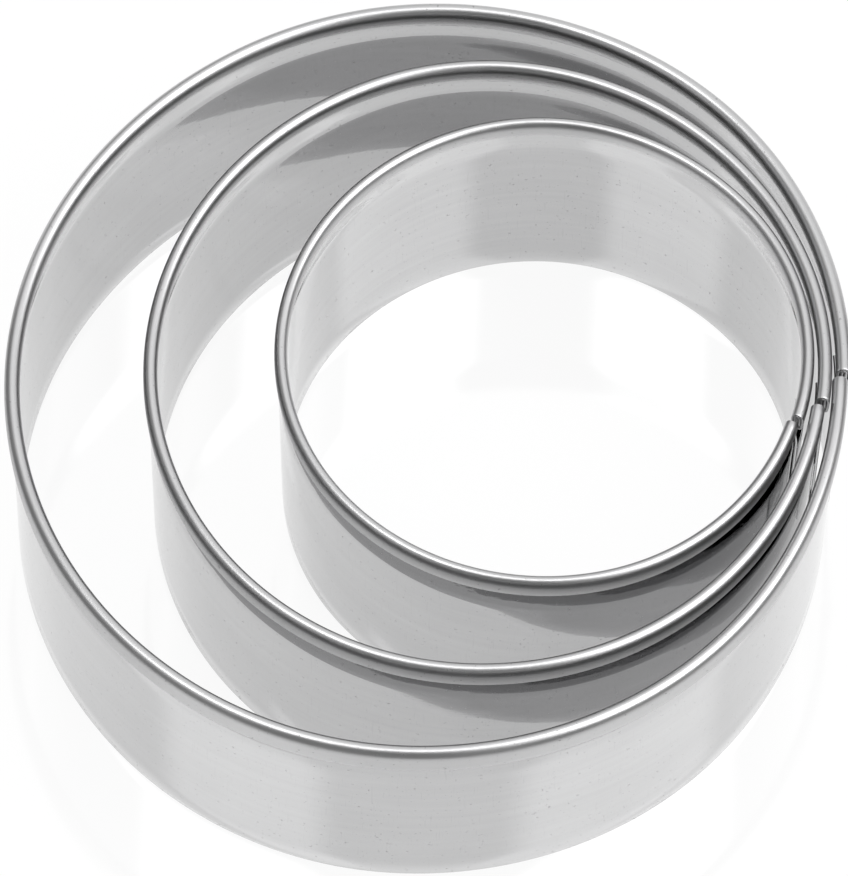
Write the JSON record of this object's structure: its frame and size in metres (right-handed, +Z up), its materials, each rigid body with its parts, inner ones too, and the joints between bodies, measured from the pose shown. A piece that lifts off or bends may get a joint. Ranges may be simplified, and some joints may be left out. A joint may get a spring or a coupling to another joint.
{
  "type": "biscuit cutter",
  "caption": "Nested plain round pastry cutters in stainless strip, each with a cutting edge below, a rolled hem above and a lapped, spot-welded seam.",
  "frame": {"origin": "middle of the large cutter's footprint, on the surface that the cutters stand on", "axes": "+Z up along every cutter's axis, cutting edges below and hems above; +X towards the side where the smaller cutters lie against the large one"},
  "size_m": [0.083, 0.0826, 0.03],
  "materials": {
    "stainless_strip": "polished stainless steel strip with faint rolling lines and fine wiping marks"
  },
  "bodies": {
    "large_cutter": {"large_cutter": "stainless_strip"},
    "medium_cutter": {"medium_cutter": "stainless_strip"},
    "small_cutter": {"small_cutter": "stainless_strip"}
  },
  "joints": [
    {"name": "medium_cutter_lift", "type": "slide", "parent": "large_cutter", "child": "medium_cutter", "axis": [0, 0, 1], "range_m": [0, 0.035]},
    {"name": "small_cutter_lift", "type": "slide", "parent": "large_cutter", "child": "small_cutter", "axis": [0, 0, 1], "range_m": [0, 0.035]}
  ]
}
